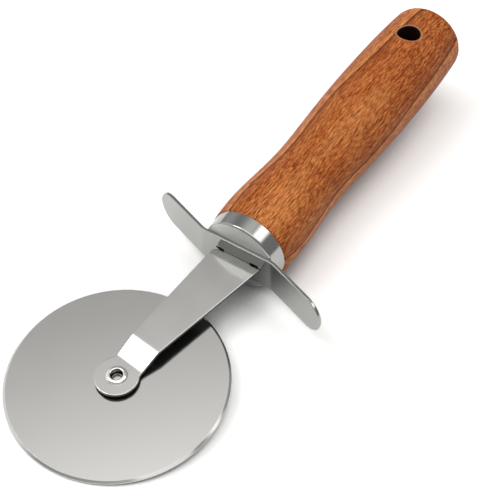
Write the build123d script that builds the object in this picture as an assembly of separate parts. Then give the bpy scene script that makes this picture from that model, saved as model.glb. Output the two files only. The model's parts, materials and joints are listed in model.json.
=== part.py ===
from build123d import *
import math
import os

# Pizza cutter: a steel wheel riveted under one cranked arm, a bent finger guard, a drawn ferrule and a
# turned wooden handle. All sizes are in millimetres.
#
# The wheel, its rivet and the arm are drawn in the tool's frame: the origin is the wheel's centre, +X runs
# towards the handle, and +Z is square to the wheel, on the arm's side. The guard, the ferrule and the handle
# are drawn in the handle's frame, whose origin is on the handle's axis in the middle of the guard. The
# finished tool is then laid on a table, where the wheel's far edge and the handle's collar touch it: there
# z is 0 on the table.

# Wheel
wheel_diameter = 65.0
wheel_thickness = 1.2
wheel_bevel = 0.7
wheel_edge_land = 0.3

# Rivet that carries the wheel
rivet_shank_diameter = 4.8
rivet_bore_diameter = 3.5
rivet_bore_floor = 1.0
rivet_crest_diameter = 4.6
rivet_flange_diameter = 6.4
rivet_flange_height = 0.75
rivet_head_diameter = 9.0
rivet_head_rim = 0.35
rivet_head_dome = 0.45

# Washers
washer_diameter = 8.6
under_washer_diameter = 7.6
under_washer_thickness = 0.3

# Arm
strip_thickness = 1.0
ear_diameter = 13.0
ear_underside = 0.85
neck_fillet = 2.5
neck_width = 9.8
crank_start = 5.4
crank_end = 12.2
crank_bend_radius = 1.8
crank_width = 10.3
arm_rear_width = 16.6
arm_corner_radius = 2.4
arm_sharp_corner_radius = 0.4
tang_width = 9.4
tang_length = 34.0
tang_corner_radius = 2.0

# Place of the handle's axis at the guard, beside and above the wheel's centre, and its slope in degrees
handle_side_offset = 6.0
handle_height_offset = 4.4
handle_droop = 1.25

# Finger guard
guard_front = 52.4
guard_thickness = 1.1
guard_height = 12.4
guard_drop = 0.55
guard_flat_half_length = 12.5
guard_half_span = 34.0
guard_wing_angle = 19.5
guard_bend_radius = 5.0
relief_reach = 7.6
relief_height = 0.8

# Ferrule
ferrule_length = 5.5
ferrule_front_radius = 12.7
ferrule_rear_radius = 13.0
ferrule_wall = 0.6
ferrule_lip_radius = 0.9

# Handle
handle_length = 120.5
collar_radius = 13.3
collar_break = 0.4
flare_radius = 13.75
flare_share = 0.054
waist_radius = 12.7
waist_share = 0.255
middle_radius = 13.65
middle_share = 0.47
belly_radius = 14.5
belly_share = 0.745
butt_radius = 13.6
butt_edge_radius = 2.6
butt_dome = 0.6
hang_hole_diameter = 8.0
hang_hole_from_butt = 18.5
hang_hole_break = 0.6

# Clearances and working values
running_clearance = 0.05
axial_play = 0.08
slot_clearance = 0.1
nose_clearance = 0.05
overrun = 5.0

# Places in the tool's frame, worked out from the sizes above
wheel_radius = wheel_diameter / 2
wheel_face = wheel_thickness / 2
ear_bottom = wheel_face + ear_underside
ear_top = ear_bottom + strip_thickness
arm_end = guard_front - slot_clearance
guard_middle = guard_front + guard_thickness / 2
arm_yaw = math.degrees(math.atan2(handle_side_offset, guard_front))
handle_place = Pos(guard_middle, -handle_side_offset, handle_height_offset) * Rot(0, handle_droop, 0)

# Places along the handle, in the handle's frame
ferrule_front = guard_thickness / 2
ferrule_back = ferrule_front + ferrule_length
handle_end = ferrule_back + handle_length
hang_hole_x = handle_end - hang_hole_from_butt
flare_x = ferrule_back + flare_share * handle_length


def ring(outer_diameter, inner_diameter, low, high):
    """A flat ring round the wheel's axis between two heights."""
    outer = Circle(outer_diameter / 2)
    face = outer - Circle(inner_diameter / 2)
    return extrude(Plane.XY.offset(low) * face, high - low)


def make_wheel():
    """A flat disc with a bevel on both sides of its rim and a bore that runs on the rivet."""
    body_radius = wheel_radius - wheel_bevel
    half_land = wheel_edge_land / 2
    bore_radius = rivet_shank_diameter / 2 + running_clearance
    outline = Polyline(
        (bore_radius, -wheel_face),
        (body_radius, -wheel_face),
        (wheel_radius, -half_land),
        (wheel_radius, half_land),
        (body_radius, wheel_face),
        (bore_radius, wheel_face),
        close=True,
    )
    return revolve(Plane.XZ * make_face(outline), Axis.Z)


def make_rivet():
    """A tubular rivet: a domed head under the wheel, a shank, and a flange rolled over the arm's ear."""
    shank = rivet_shank_diameter / 2
    bore = rivet_bore_diameter / 2
    crest = rivet_crest_diameter / 2
    flange = rivet_flange_diameter / 2
    head = rivet_head_diameter / 2
    head_top = -wheel_face - axial_play - under_washer_thickness
    head_low = head_top - rivet_head_rim
    crest_top = ear_top + rivet_flange_height
    lip_height = ear_top + rivet_flange_height / 2
    with BuildPart() as rivet:
        with BuildSketch(Plane.XZ):
            with BuildLine():
                Line((0, rivet_bore_floor), (bore, rivet_bore_floor))
                Line((bore, rivet_bore_floor), (bore, lip_height))
                TangentArc((bore, lip_height), (crest, crest_top), tangent=(0, 1))
                TangentArc((crest, crest_top), (flange, ear_top), tangent=(1, 0))
                Line((flange, ear_top), (shank, ear_top))
                Line((shank, ear_top), (shank, head_top))
                Line((shank, head_top), (head, head_top))
                Line((head, head_top), (head, head_low))
                TangentArc((0, head_low - rivet_head_dome), (head, head_low), tangent=(1, 0))
                Line((0, head_low - rivet_head_dome), (0, rivet_bore_floor))
            make_face()
        revolve(axis=Axis.Z)
    return rivet.part


def make_spacer_washer():
    """The washer that keeps the arm's ear off the wheel."""
    return ring(washer_diameter, rivet_shank_diameter, wheel_face + axial_play, ear_bottom)


def make_under_washer():
    """The thin washer between the wheel and the rivet's head."""
    top = -wheel_face - axial_play
    return ring(under_washer_diameter, rivet_shank_diameter, top - under_washer_thickness, top)


def thick_line(path):
    """The face of a bent strip seen edge on, from the line along its middle."""
    return make_face(offset(path, strip_thickness / 2, side=Side.BOTH, kind=Kind.INTERSECTION))


def arm_outline():
    """The arm seen from above: a round ear and a widening strip that stops at the guard."""
    along = Plane.XY.rotated((0, 0, -arm_yaw))
    reach = guard_front / math.cos(math.radians(arm_yaw))
    rear_grow = (arm_rear_width - crank_width) / (reach - crank_end)
    far = reach + overrun
    far_half = (crank_width + rear_grow * (far - crank_end)) / 2
    strip = along * make_face(
        Polyline(
            (0, neck_width / 2),
            (crank_start, neck_width / 2),
            (crank_end, crank_width / 2),
            (far, far_half),
            (far, -far_half),
            (crank_end, -crank_width / 2),
            (crank_start, -neck_width / 2),
            (0, -neck_width / 2),
            close=True,
        )
    )
    beyond = Pos(arm_end + wheel_diameter / 2, 0) * Rectangle(wheel_diameter, wheel_diameter * 2)
    strip = strip - beyond
    rear = strip.vertices().group_by(Axis.X)[-1].sort_by(Axis.Y)
    strip = fillet(rear[-1], arm_corner_radius)
    rear = strip.vertices().group_by(Axis.X)[-1].sort_by(Axis.Y)
    strip = fillet(rear[0], arm_sharp_corner_radius)
    head = strip + Circle(ear_diameter / 2)
    inner = head.vertices().filter_by(lambda v: abs(v.X) < ear_diameter / 2 and abs(v.Y) > neck_width / 4)
    return fillet(inner, neck_fillet)


def make_tang():
    """The strip's narrow end, level as far as the guard and bent there into the handle's line."""
    droop = math.radians(handle_droop)
    reach = tang_length + overrun
    path = FilletPolyline(
        (guard_front - overrun, handle_height_offset),
        (guard_middle, handle_height_offset),
        (guard_middle + reach * math.cos(droop), handle_height_offset - reach * math.sin(droop)),
        radius=crank_bend_radius,
    )
    folded = extrude(Plane.XZ * thick_line(path), wheel_diameter, both=True)
    start = arm_end - overrun / 2
    end = guard_middle + tang_length
    outline = Pos((start + end) / 2, -handle_side_offset) * Rectangle(end - start, tang_width)
    outline = fillet(outline.vertices().group_by(Axis.X)[-1], tang_corner_radius)
    return folded & extrude(outline, wheel_radius, both=True)


def make_arm():
    """The flat outline folded along its crank, which lifts the strip to the handle's axis, and the tang."""
    ear_middle = (ear_bottom + ear_top) / 2
    path = FilletPolyline(
        (-ear_diameter, ear_middle),
        (crank_start, ear_middle),
        (crank_end, handle_height_offset),
        (guard_middle + overrun, handle_height_offset),
        radius=crank_bend_radius,
    )
    side = Plane.XZ.rotated((0, 0, -arm_yaw)) * thick_line(path)
    folded = extrude(side, wheel_diameter, both=True)
    arm = folded & extrude(arm_outline(), wheel_radius, both=True)
    arm = arm + make_tang()
    return arm - Cylinder(rivet_shank_diameter / 2, wheel_diameter)


def make_guard():
    """An upright strip: flat across the handle, one wing swept back and the other swept forward."""
    lean = math.tan(math.radians(guard_wing_angle))
    wing_reach = guard_half_span + overrun - guard_flat_half_length
    path = FilletPolyline(
        (-wing_reach * lean, -guard_half_span - overrun),
        (0, -guard_flat_half_length),
        (0, guard_flat_half_length),
        (wing_reach * lean, guard_half_span + overrun),
        radius=guard_bend_radius,
    )
    plan = make_face(offset(path, guard_thickness / 2, side=Side.BOTH, kind=Kind.INTERSECTION))
    strip = extrude(plan, guard_height, both=True)
    front_view = Plane((0, 0, 0), x_dir=(0, 1, 0), z_dir=(1, 0, 0))
    lowered = front_view * Pos(0, -guard_drop) * SlotOverall(guard_half_span * 2, guard_height)
    guard = strip & extrude(lowered, guard_half_span, both=True)
    slot = front_view * Rectangle(tang_width + 2 * slot_clearance, strip_thickness + 2 * slot_clearance)
    relief_z = strip_thickness / 2 + relief_height / 2
    relief = front_view * Pos(0, relief_z) * Rectangle(relief_reach * 2, relief_height)
    covered = front_view * Pos(0, relief_z) * Rectangle(tang_width, relief_height)
    opening = slot + (relief - covered)
    return handle_place * (guard - extrude(opening, guard_thickness, both=True))


def ferrule_outline(shrink):
    """The cup's half section from its front face to its open rear, shrunk evenly by a wall."""
    front = ferrule_front + shrink
    nose = ferrule_front_radius - shrink
    rear = ferrule_rear_radius - shrink
    lip = ferrule_lip_radius - shrink
    with BuildLine() as line:
        Line((front, 0), (front, nose - lip))
        TangentArc((front, nose - lip), (front + lip, nose), tangent=(0, 1))
        Line((front + lip, nose), (ferrule_back, rear))
        Line((ferrule_back, rear), (ferrule_back, 0))
        Line((ferrule_back, 0), (front, 0))
    return make_face(line.line)


def make_ferrule():
    """A drawn cup with a rounded front lip, open at the rear, slotted for the tang."""
    outer = revolve(ferrule_outline(0), Axis.X)
    inner = revolve(ferrule_outline(ferrule_wall), Axis.X)
    slot = Pos(ferrule_front, 0, 0) * Box(
        ferrule_wall * 4,
        tang_width + 2 * slot_clearance,
        strip_thickness + 2 * slot_clearance,
    )
    return handle_place * (outer - inner - slot)


def handle_section():
    """The handle's half section: the nose in the ferrule, the collar, the grip's curve and the butt."""
    nose_front = ferrule_front + ferrule_wall
    nose_radius = ferrule_front_radius - ferrule_wall - nose_clearance
    nose_rear = ferrule_rear_radius - ferrule_wall - nose_clearance
    nose_lip = ferrule_lip_radius
    collar_x = ferrule_back + collar_break
    round_x = handle_end - butt_edge_radius - butt_dome
    with BuildLine() as line:
        Line((nose_front, 0), (nose_front, nose_radius - nose_lip))
        TangentArc((nose_front, nose_radius - nose_lip), (nose_front + nose_lip, nose_radius), tangent=(0, 1))
        Line((nose_front + nose_lip, nose_radius), (ferrule_back, nose_rear))
        Line((ferrule_back, nose_rear), (ferrule_back, collar_radius - collar_break))
        Line((ferrule_back, collar_radius - collar_break), (collar_x, collar_radius))
        grip = Spline(
            (collar_x, collar_radius),
            (flare_x, flare_radius),
            (ferrule_back + waist_share * handle_length, waist_radius),
            (ferrule_back + middle_share * handle_length, middle_radius),
            (ferrule_back + belly_share * handle_length, belly_radius),
            (round_x, butt_radius),
        )
        edge = TangentArc(
            (round_x, butt_radius),
            (handle_end - butt_dome, butt_radius - butt_edge_radius),
            tangent=grip % 1,
        )
        TangentArc((handle_end, 0), edge @ 1, tangent=(0, 1))
        Line((handle_end, 0), (nose_front, 0))
    return make_face(line.line)


def make_handle():
    """Turned wood with a slot for the tang and a cross hole to hang it by."""
    wood = revolve(handle_section(), Axis.X)
    hole = Pos(hang_hole_x, 0, 0) * Cylinder(hang_hole_diameter / 2, belly_radius * 4)
    slot_end = tang_length + slot_clearance
    slot = Pos(slot_end / 2, 0, 0) * Box(
        slot_end,
        tang_width + 2 * nose_clearance,
        strip_thickness + 2 * nose_clearance,
    )
    wood = wood - hole - slot
    rims = wood.edges().filter_by(is_hole_rim)
    return handle_place * fillet(rims, hang_hole_break)


def is_hole_rim(edge):
    """Whether an edge is one of the two closed rims of the hang hole."""
    box = edge.bounding_box()
    wide = abs(box.size.X - hang_hole_diameter) < slot_clearance
    centred = abs(box.center().X - hang_hole_x) < slot_clearance
    return wide and centred and abs(box.center().Z) > waist_radius / 2


def table_tilt():
    """The slope, in degrees, of the table under the wheel's far edge and the handle's flared collar."""
    flare = (handle_place * Pos(flare_x, 0, -flare_radius)).position
    run = flare.X + wheel_radius - wheel_bevel
    return math.degrees(math.atan2(-wheel_face - flare.Z, run))


def resting_place(pieces):
    """The move that lays the tool on the table, with the origin under the middle of its box."""
    turn = Rot(0, -table_tilt(), 0)
    box = Compound(children=[turn * piece for piece in pieces.values()]).bounding_box()
    middle = box.center()
    return Pos(-middle.X, -middle.Y, -box.min.Z) * turn


def build():
    """Every piece by name, laid on the table, and the move that laid it there."""
    pieces = {
        "cutting_wheel": make_wheel(),
        "axle_rivet": make_rivet(),
        "spacer_washer": make_spacer_washer(),
        "under_washer": make_under_washer(),
        "arm": make_arm(),
        "finger_guard": make_guard(),
        "ferrule": make_ferrule(),
        "handle": make_handle(),
    }
    place = resting_place(pieces)
    return {name: place * piece for name, piece in pieces.items()}, place


nodes, resting = build()
os.makedirs("parts", exist_ok=True)
for node_name, node in nodes.items():
    export_step(node, f"parts/{node_name}.step")
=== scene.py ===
"""The looks of a pizza cutter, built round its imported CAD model.

Every sub-assembly is drawn in millimetres in a frame of its own, as on a workshop drawing. The wheel, its
rivet and the arm are in the tool's frame, whose origin is the wheel's centre, with x towards the handle and z
square to the wheel. The guard, the ferrule and the handle are in the handle's frame, whose origin is on the
handle's axis in the middle of the guard. Place.put turns a drawing into metres in the part's own frame.
"""

import json
import logging
import math
from collections.abc import Callable, Sequence
from dataclasses import dataclass
from enum import Enum

import bpy
import numpy as np
from mathutils import Matrix, Vector


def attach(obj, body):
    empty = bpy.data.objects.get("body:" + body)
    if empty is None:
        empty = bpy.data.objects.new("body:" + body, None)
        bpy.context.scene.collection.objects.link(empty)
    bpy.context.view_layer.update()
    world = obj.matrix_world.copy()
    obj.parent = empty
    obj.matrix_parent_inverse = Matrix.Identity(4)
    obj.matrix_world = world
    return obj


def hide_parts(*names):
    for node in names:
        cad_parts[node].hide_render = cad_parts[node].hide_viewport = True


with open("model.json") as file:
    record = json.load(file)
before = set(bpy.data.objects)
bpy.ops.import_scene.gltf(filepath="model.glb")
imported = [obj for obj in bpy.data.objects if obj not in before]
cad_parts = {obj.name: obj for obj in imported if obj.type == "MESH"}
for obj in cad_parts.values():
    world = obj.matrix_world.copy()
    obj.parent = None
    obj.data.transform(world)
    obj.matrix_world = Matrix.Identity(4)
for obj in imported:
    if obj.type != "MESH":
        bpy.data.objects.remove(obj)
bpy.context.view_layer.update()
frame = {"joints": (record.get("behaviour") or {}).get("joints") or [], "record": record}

LOG = logging.getLogger("pizza_cutter")
MM = 0.001
# Points nearer than this are one, in millimetres, and the cells that tell it start off round numbers.
WELD_REACH = 1e-4
WELD_START = 0.37
# Edges sharper than this shade as edges.
SHARP_ANGLE = math.radians(38)
# Points on an arc that nothing else is said of, on a small break, a fillet, a dome and a sheet's bend.
ARC_POINTS = 9
BREAK_POINTS, FILLET_POINTS, DOME_POINTS, BEND_POINTS = 4, 12, 16, 24
# How near to a flat run's ends the points that hold it lie, in millimetres.
HOLD_REACH = 0.04

# A linear colour, and where a smooth step starts and is full with its values there.
Colour = tuple[float, float, float]
Ease = tuple[float, float, float, float]
Socket = bpy.types.NodeSocket
Tree = bpy.types.NodeTree


class Body(Enum):
    """The two bodies that the wheel's joint keeps apart."""

    FRAME = "frame"
    WHEEL = "wheel"


class Slot(Enum):
    """The record's material slots."""

    WHEEL = "wheel_steel"
    RIVET = "rivet_steel"
    WASHER = "washer_steel"
    ARM = "arm_steel"
    GUARD = "guard_steel"
    FERRULE = "ferrule_steel"
    HANDLE = "handle_wood"


# Frames

@dataclass(frozen=True)
class Place:
    """Where a drawing's frame stands in the part's frame: its origin in metres, and its axes as columns."""

    origin: np.ndarray
    axes: np.ndarray

    @classmethod
    def square_to(cls, point: Sequence[float], up: Sequence[float]) -> "Place":
        """A frame at a point whose z is up and whose y is the part's own y.

        Args:
            point: The origin, in metres.
            up: The direction of z, square to the part's y.

        Returns:
            The frame.
        """
        z = np.array(up, float)
        z /= np.linalg.norm(z)
        y = np.array((0.0, 1.0, 0.0))
        return cls(np.array(point, float), np.stack([np.cross(y, z), y, z], axis=1))

    def moved(self, offset: Sequence[float]) -> "Place":
        """The same frame moved by an offset in millimetres along its own axes."""
        return Place(self.origin + self.axes @ np.array(offset, float) * MM, self.axes)

    def put(self, points: np.ndarray) -> np.ndarray:
        """Drawn points in millimetres, as metres in the part's frame."""
        return points @ self.axes.T * MM + self.origin

    def mapping(self) -> tuple[Vector, Vector]:
        """The location and rotation of a Mapping node that turns object coordinates into this frame's."""
        inverse = Matrix(self.axes.T.tolist())
        return inverse @ -Vector(self.origin), Vector(inverse.to_euler())


# Curves

def turned(vector: np.ndarray, angles: np.ndarray) -> np.ndarray:
    """A plane vector turned by each of several angles."""
    cos, sin = np.cos(angles), np.sin(angles)
    return np.stack([cos * vector[0] - sin * vector[1], sin * vector[0] + cos * vector[1]], axis=1)


def arc_leaving(
    start: Sequence[float], end: Sequence[float], heading: Sequence[float], count: int = ARC_POINTS
) -> np.ndarray:
    """The circular arc that leaves a point along a heading and ends at another point.

    The radius is the chord's square over twice the chord's part square to the heading, and the arc sweeps
    twice the angle between the heading and the chord.

    Args:
        start: First point.
        end: Last point.
        heading: Unit direction at the first point.
        count: How many points, both ends among them.

    Returns:
        The points, one a row.
    """
    start, end, heading = (np.array(value, float) for value in (start, end, heading))
    side = np.array((-heading[1], heading[0]))
    chord = end - start
    radius = chord @ chord / (2 * (chord @ side))
    sweep = 2 * math.atan2(chord @ side, chord @ heading)
    centre = start + radius * side
    return centre + turned(start - centre, np.linspace(0, sweep, count))


def rounded(
    corners: Sequence[Sequence[float]], radii: Sequence[float], count: int = ARC_POINTS
) -> np.ndarray:
    """A line of straight runs whose inner corners are rounded by tangent arcs.

    Args:
        corners: The line's corners, both ends among them.
        radii: A radius for each inner corner, 0 for a sharp one.
        count: Points on each arc.

    Returns:
        The points, one a row.
    """
    corners = [np.array(corner, float) for corner in corners]
    runs = [corners[0][None]]
    for before, here, after, radius in zip(corners[:-2], corners[1:-1], corners[2:], radii):
        come = (here - before) / np.linalg.norm(here - before)
        leave = (after - here) / np.linalg.norm(after - here)
        turn = math.atan2(come[0] * leave[1] - come[1] * leave[0], come @ leave)
        reach = radius * math.tan(abs(turn) / 2)
        if reach > 0:
            runs.append(arc_leaving(here - come * reach, here + leave * reach, come, count))
        else:
            runs.append(here[None])
    runs.append(corners[-1][None])
    return np.concatenate(runs)


def walked(line: np.ndarray, count: int) -> np.ndarray:
    """Points spread evenly along a line, by linear interpolation over its length."""
    lengths = np.concatenate([[0], np.cumsum(np.linalg.norm(np.diff(line, axis=0), axis=1))])
    at = np.linspace(0, lengths[-1], count)
    return np.stack([np.interp(at, lengths, line[:, axis]) for axis in range(2)], axis=1)


def offset_line(line: np.ndarray, distance: float) -> np.ndarray:
    """A line moved sideways to its left by a distance, along the normals at its points."""
    slope = np.gradient(line, axis=0)
    slope /= np.linalg.norm(slope, axis=1, keepdims=True)
    return line + distance * np.stack([-slope[:, 1], slope[:, 0]], axis=1)


def held(line: np.ndarray, reach: float) -> np.ndarray:
    """A line with a point added near both ends of each long run, so that the faces there shade flat.

    An added point's rank is a part of a step past the run's first point, which sorts it into its place.
    """
    along = np.diff(line, axis=0)
    length = np.linalg.norm(along, axis=1)
    far = np.flatnonzero(length > 4 * reach)
    step = along[far] / length[far, None] * reach
    points = np.concatenate([line, line[far] + step, line[far + 1] - step])
    return points[np.argsort(np.concatenate([np.arange(len(line)), far + 0.3, far + 0.6]))]


def smooth_through(stations: np.ndarray, values: np.ndarray, at: np.ndarray) -> np.ndarray:
    """A cubic through stations whose second slope never jumps.

    The end slopes are those of the cubic through the four points nearest that end. The inner slopes solve the
    usual three-term equations, and between stations the curve is the Hermite cubic of its ends and slopes.

    Args:
        stations: Places along the axis, rising.
        values: The value at each station.
        at: Places to work out.

    Returns:
        The values there.
    """
    steps = np.diff(stations)
    rises = np.diff(values) / steps
    system = np.eye(len(stations))
    wanted = np.zeros(len(stations))
    for end, four in ((0, slice(0, 4)), (-1, slice(-4, None))):
        cubic = np.polyfit(stations[four] - stations[end], values[four], 3)
        wanted[end] = cubic[2]
    for k in range(1, len(stations) - 1):
        before, after = 1 / steps[k - 1], 1 / steps[k]
        system[k, k - 1 : k + 2] = before, 2 * (before + after), after
        wanted[k] = 3 * (rises[k - 1] * before + rises[k] * after)
    slopes = np.linalg.solve(system, wanted)
    k = np.clip(np.searchsorted(stations, at) - 1, 0, len(steps) - 1)
    share = (at - stations[k]) / steps[k]
    left = (1 + 2 * share) * (1 - share) ** 2 * values[k] + share * (1 - share) ** 2 * steps[k] * slopes[k]
    right = share**2 * (3 - 2 * share) * values[k + 1] - share**2 * (1 - share) * steps[k] * slopes[k + 1]
    return left + right


# Surfaces

def between_rings(rings: int, around: int, closed: bool = False) -> np.ndarray:
    """Quads between neighbouring rings of points, each ring joined end to start.

    Args:
        rings: How many rings.
        around: Points in each ring.
        closed: Whether the last ring joins the first.

    Returns:
        Four point numbers a row.
    """
    ring = np.arange(rings if closed else rings - 1)[:, None] * around
    other = (ring + around) % (rings * around)
    here = np.arange(around)[None, :]
    after = (here + 1) % around
    return np.stack([ring + here, ring + after, other + after, other + here], axis=-1).reshape(-1, 4)


@dataclass
class Skin:
    """A closed surface: points in millimetres and quads, where a triangle repeats its last point."""

    points: np.ndarray
    faces: np.ndarray

    def welded(self) -> "Skin":
        """The surface with points that coincide made one, and with faces that lost a side made triangles."""
        keys = np.floor(self.points / WELD_REACH + WELD_START).astype(np.int64)
        _, first, index = np.unique(keys, axis=0, return_index=True, return_inverse=True)
        return Skin(self.points[first], tidy_faces(index.reshape(-1)[self.faces]))

    def outward(self) -> "Skin":
        """The surface with its faces pointing outwards, judged by the sign of the volume that it holds."""
        a, b, c, d = (self.points[self.faces[:, corner]] for corner in range(4))
        volume = np.einsum("ij,ij->", a, np.cross(b, c)) + np.einsum("ij,ij->", a, np.cross(c, d))
        return self if volume > 0 else Skin(self.points, tidy_faces(self.faces[:, ::-1]))

    def bent(self, bend: Callable[[np.ndarray], np.ndarray]) -> "Skin":
        """The surface with its points moved by a function of all of them."""
        return Skin(bend(self.points), self.faces)


def tidy_faces(faces: np.ndarray) -> np.ndarray:
    """Faces with no point twice in a row, but for the last one of a triangle.

    A quad with one pair of equal neighbours is written as its triangle, and one with more is left out.
    """
    a, b, c, d = faces.T
    same = np.stack([a == b, b == c, c == d, d == a])
    whole = same.sum(0) == 0
    flat = (a == c) | (b == d)
    quads = faces[whole & ~flat]
    three = same.sum(0) == 1
    starts = np.stack([np.stack([b, c, d, d], 1), np.stack([a, c, d, d], 1), np.stack([a, b, d, d], 1),
                       np.stack([a, b, c, c], 1)])
    triangles = starts[same.argmax(0), np.arange(len(faces))][three]
    distinct = (triangles[:, 0] != triangles[:, 1]) & (triangles[:, 1] != triangles[:, 2])
    distinct &= triangles[:, 0] != triangles[:, 2]
    return np.concatenate([quads, triangles[distinct]])


def lathe(profile: np.ndarray, segments: int, closed: bool) -> Skin:
    """A profile carried round the z axis: each ring is the profile's radius times the cosine and sine.

    Args:
        profile: Rows of radius and height.
        segments: Points round the axis.
        closed: Whether the profile's last point joins its first.

    Returns:
        The surface.
    """
    profile = held(profile, HOLD_REACH)
    angle = np.arange(segments) * (2 * math.pi / segments)
    radius, height = profile[:, 0, None], profile[:, 1, None]
    points = np.stack([radius * np.cos(angle), radius * np.sin(angle), height + 0 * angle], axis=-1)
    faces = between_rings(len(profile), segments, closed)
    return Skin(points.reshape(-1, 3), faces).welded().outward()


@dataclass
class Sheet:
    """A flat sheet with rounded edges, gridded in rings that run from its outline to its middle line.

    Attributes:
        outline: The closed outline, anticlockwise, one point a row.
        middle: For each outline point, the point on the middle line or the hole's rim that its ring ends at.
        thickness: The sheet's thickness.
        edge_radius: The rounding of its outer edges.
        shares: Where the rings lie, from the rounding's end (0) to the middle line (1).
        cut: Says of points whether they lie in an opening.
        arc_points: Rings on the rounding.
    """

    outline: np.ndarray
    middle: np.ndarray
    thickness: float
    edge_radius: float
    shares: np.ndarray
    cut: Callable[[np.ndarray], np.ndarray] | None = None
    arc_points: int = 6

    def solid(self) -> Skin:
        """The sheet as a solid lying in the xy plane.

        A ring on the rounding lies inside the outline by the radius less its cosine, and above the middle by
        half the thickness less the radius and plus its sine. Past the rounding, rings run straight to the
        middle line. Both faces hold the same grid, and a wall joins them wherever an edge has one face.

        Returns:
            The surface.
        """
        along = np.roll(self.outline, -1, axis=0) - np.roll(self.outline, 1, axis=0)
        along /= np.linalg.norm(along, axis=1, keepdims=True)
        inward = np.stack([-along[:, 1], along[:, 0]], axis=1)
        angle = np.linspace(0, math.pi / 2, self.arc_points)
        inset = self.edge_radius * (1 - np.cos(angle))
        height = self.thickness / 2 - self.edge_radius * (1 - np.sin(angle))
        edge = self.outline + inset[:, None, None] * inward
        face = edge[-1] + self.shares[1:, None, None] * (self.middle - edge[-1])
        flat = np.concatenate([edge, face])
        heights = np.concatenate([height, np.full(len(face), self.thickness / 2)])
        faces = between_rings(len(flat), len(self.outline))
        points = flat.reshape(-1, 2)
        if self.cut is not None:
            faces = faces[~self.cut(points[faces].mean(axis=1))]
        lifted = np.concatenate([points, np.repeat(heights, len(self.outline))[:, None]], axis=1)
        upper = Skin(lifted, faces).welded()
        count = len(upper.points)
        lower = upper.faces[:, ::-1] + count
        starts, ends = upper.faces.T.reshape(-1), np.roll(upper.faces, -1, axis=1).T.reshape(-1)
        open_edge = (starts != ends) & ~np.isin(ends * count + starts, starts * count + ends)
        starts, ends = starts[open_edge], ends[open_edge]
        walls = np.stack([starts, starts + count, ends + count, ends], axis=1)
        mirrored = upper.points * np.array((1, 1, -1))
        both = np.concatenate([upper.points, mirrored])
        return Skin(both, tidy_faces(np.concatenate([upper.faces, lower, walls]))).outward()


@dataclass
class Fold:
    """How a flat sheet is folded about lines square to one direction.

    The sheet's middle follows a path of straight runs and arcs. Its two faces are that path moved sideways by
    half the thickness, and a point between the faces lies in proportion between them.
    """

    path: np.ndarray
    thickness: float

    def lift(self, at: np.ndarray, height: np.ndarray) -> np.ndarray:
        """The folded height of points, from their places along the path and heights in the flat sheet."""
        upper = offset_line(self.path, self.thickness / 2)
        lower = offset_line(self.path, -self.thickness / 2)
        top = np.interp(at, upper[:, 0], upper[:, 1])
        bottom = np.interp(at, lower[:, 0], lower[:, 1])
        return bottom + (top - bottom) * (height / self.thickness + 0.5)


def link_object(name: str, data: bpy.types.ID) -> bpy.types.Object:
    """A new object of some data, in the scene."""
    new = bpy.data.objects.new(name, data)
    bpy.context.scene.collection.objects.link(new)
    return new


def make_piece(
    name: str,
    skin: Skin,
    place: Place,
    material: bpy.types.Material,
    nodes: Sequence[str],
    body: Body = Body.FRAME,
) -> bpy.types.Object:
    """Makes a piece of a surface, puts it under its body's empty and hides the CAD nodes that it replaces.

    Args:
        name: The piece's name.
        skin: Its surface, in millimetres in its drawing's frame.
        place: Where that frame stands.
        material: Its finish.
        nodes: The CAD nodes that it replaces.
        body: The body that it moves with.

    Returns:
        The Blender object.
    """
    mesh = bpy.data.meshes.new(name)
    quads = skin.faces[skin.faces[:, 2] != skin.faces[:, 3]].tolist()
    triangles = skin.faces[skin.faces[:, 2] == skin.faces[:, 3]][:, :3].tolist()
    mesh.from_pydata(place.put(skin.points).tolist(), [], quads + triangles)
    mesh.materials.append(material)
    mesh.polygons.foreach_set("use_smooth", np.ones(len(mesh.polygons), bool))
    mesh.set_sharp_from_angle(angle=SHARP_ANGLE)
    mesh.update()
    piece = link_object(name, mesh)
    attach(piece, body.value)
    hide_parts(*nodes)
    LOG.info("%s: %d faces on %s, for %s", name, len(mesh.polygons), body.value, ", ".join(nodes))
    return piece


# Finishes

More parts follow.
